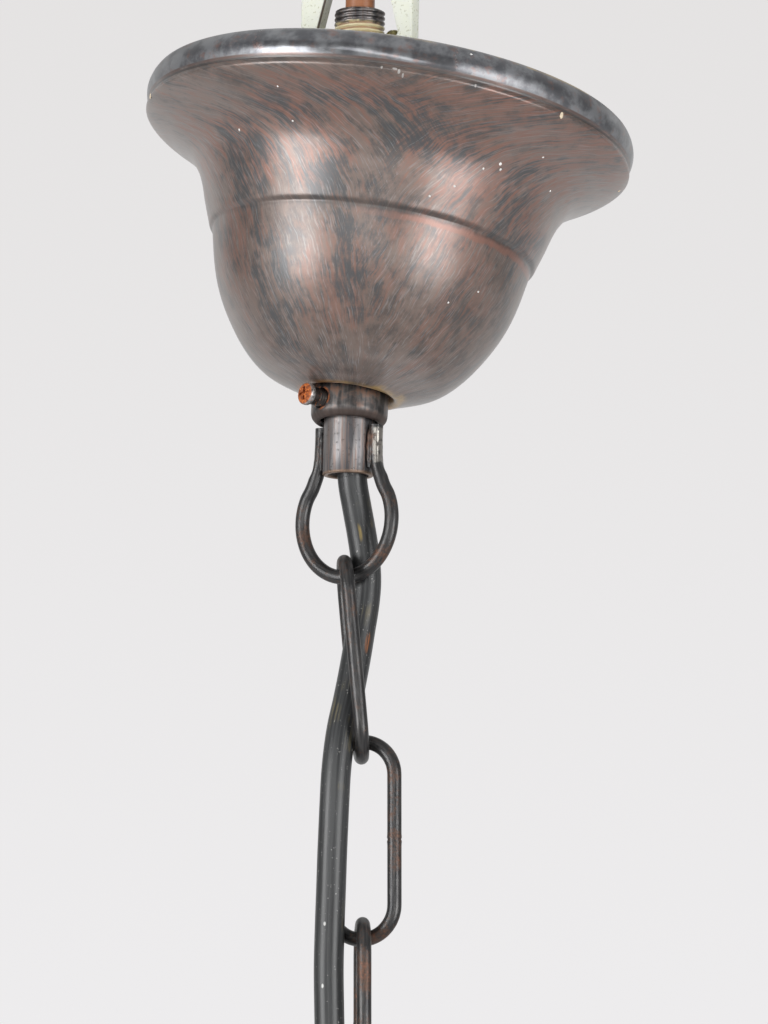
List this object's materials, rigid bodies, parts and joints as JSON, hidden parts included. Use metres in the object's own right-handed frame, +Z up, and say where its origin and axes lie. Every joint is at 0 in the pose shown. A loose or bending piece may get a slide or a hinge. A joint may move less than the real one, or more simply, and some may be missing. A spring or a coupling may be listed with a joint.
{
  "type": "chandelier ceiling suspension",
  "caption": "Chandelier's ceiling suspension: bell canopy on a collar, hanger tube under a nylon hook stirrup, and a link chain with its flex down to a threaded stem.",
  "frame": {"origin": "the seat of the ceiling hook: the top of the stirrup's window, on the hanger tube's axis", "axes": "+Z up along the hanger tube, -Y to the front, which the picture shows, and +X to the right"},
  "size_m": [0.0969, 0.097, 0.3116],
  "materials": {
    "canopy_paint": "brushed bronze paint, satin",
    "tube_steel": "satin, aged",
    "dark_wire": "satin, rust showing through",
    "collar_steel": "satin, rusty edges",
    "rusty_steel": "rusty",
    "nylon": "translucent pale green",
    "sheath": "dark grey, satin",
    "polyethylene": "milky",
    "brass": "dull",
    "copper": "bare strands",
    "core_brown": "smooth",
    "core_blue": "smooth",
    "core_green_yellow": "green with a yellow stripe"
  },
  "bodies": {
    "hanger": {"hook_stirrup": "nylon", "stirrup_lock_screw": "brass", "hanger_tube": "tube_steel", "hanger_bail": "dark_wire", "flex_hanger": "sheath", "connector_strip": "polyethylene", "core_live": "core_brown", "core_neutral": "core_blue", "core_earth": "core_green_yellow", "conductor_live": "copper", "conductor_neutral": "copper", "conductor_earth": "copper", "terminal_insert_1": "brass", "terminal_insert_2": "brass", "terminal_insert_3": "brass", "terminal_screw_1": "brass", "terminal_screw_2": "brass", "terminal_screw_3": "brass", "terminal_screw_4": "brass", "terminal_screw_5": "brass", "terminal_screw_6": "brass"},
    "collar": {"collar": "collar_steel"},
    "grub_screw": {"grub_screw": "rusty_steel"},
    "canopy": {"canopy": "canopy_paint"},
    "link_1": {"chain_link_1": "dark_wire", "flex_link_1": "sheath"},
    "link_2": {"chain_link_2": "dark_wire", "flex_link_2": "sheath"},
    "link_3": {"chain_link_3": "dark_wire", "flex_link_3": "sheath"},
    "stem": {"stem_bail": "dark_wire", "stem_tube": "tube_steel", "flex_stem": "sheath"}
  },
  "joints": [
    {"name": "collar_slide", "type": "slide", "parent": "hanger", "child": "collar", "axis": [0, 0, 1], "range_m": [0, 0.056]},
    {"name": "grub_screw_out", "type": "slide", "parent": "collar", "child": "grub_screw", "axis": [-0.7649, -0.6382, 0.0871], "range_m": [0, 0.002]},
    {"name": "canopy_tilt", "type": "hinge", "parent": "collar", "child": "canopy", "pos_m": [0.0001, 0.00039, -0.09427], "axis": [-0.6044, 0.7966, 0], "range_deg": [-3.5, 0]},
    {"name": "link_1_swing", "type": "hinge", "parent": "hanger", "child": "link_1", "pos_m": [0, 0, -0.1321], "axis": [0.866, -0.5, 0], "range_deg": [-15, 15], "deforming": ["flex_hanger", "flex_link_1"]},
    {"name": "link_2_swing", "type": "hinge", "parent": "link_1", "child": "link_2", "pos_m": [0.00409, 0, -0.16744], "axis": [-0.0523, 0.9986, 0], "range_deg": [-15, 15], "deforming": ["flex_link_2"]},
    {"name": "link_3_swing", "type": "hinge", "parent": "link_2", "child": "link_3", "pos_m": [0.00505, 0, -0.20303], "axis": [0.9511, -0.309, 0], "range_deg": [-15, 15], "deforming": ["flex_link_3"]},
    {"name": "stem_swing", "type": "hinge", "parent": "link_3", "child": "stem", "pos_m": [0.00601, 0, -0.23862], "axis": [-0.0523, 0.9986, 0], "range_deg": [-15, 15], "deforming": ["flex_stem"]}
  ]
}
